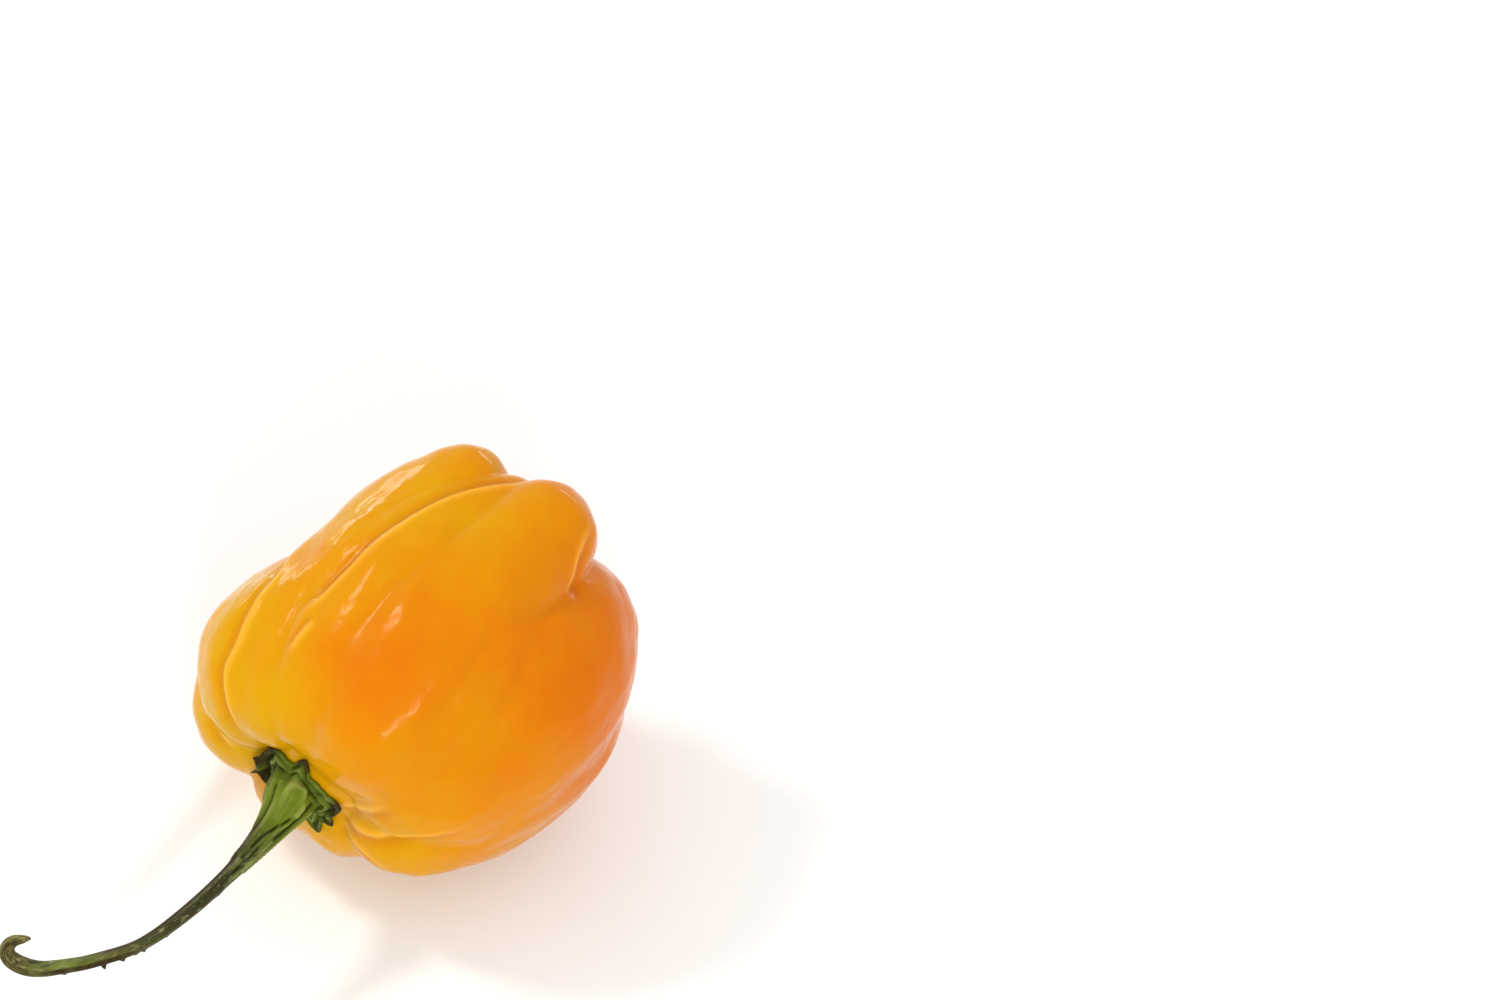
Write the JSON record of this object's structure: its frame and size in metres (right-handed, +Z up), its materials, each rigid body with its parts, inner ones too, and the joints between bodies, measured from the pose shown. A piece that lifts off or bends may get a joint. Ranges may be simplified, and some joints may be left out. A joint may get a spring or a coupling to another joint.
{
  "type": "habanero pepper",
  "caption": "Ripe lobed orange-yellow habanero pepper lying on its side, with its toothed green calyx and a thin curved stem that ends in a small hook.",
  "frame": {"origin": "middle of the small flat spot under the pod that it rests on", "axes": "+X runs from the calyx end to the blossom end, so the stem points to -X; +Z is up"},
  "size_m": [0.0662, 0.0404, 0.038],
  "materials": {
    "pod_skin": "glossy, waxy, thin skin, from yellow near the calyx to deep orange",
    "stalk_green": "satin green with dry brown tips and edges"
  },
  "bodies": {
    "root": {"pod": "pod_skin", "stalk": "stalk_green"}
  },
  "joints": []
}
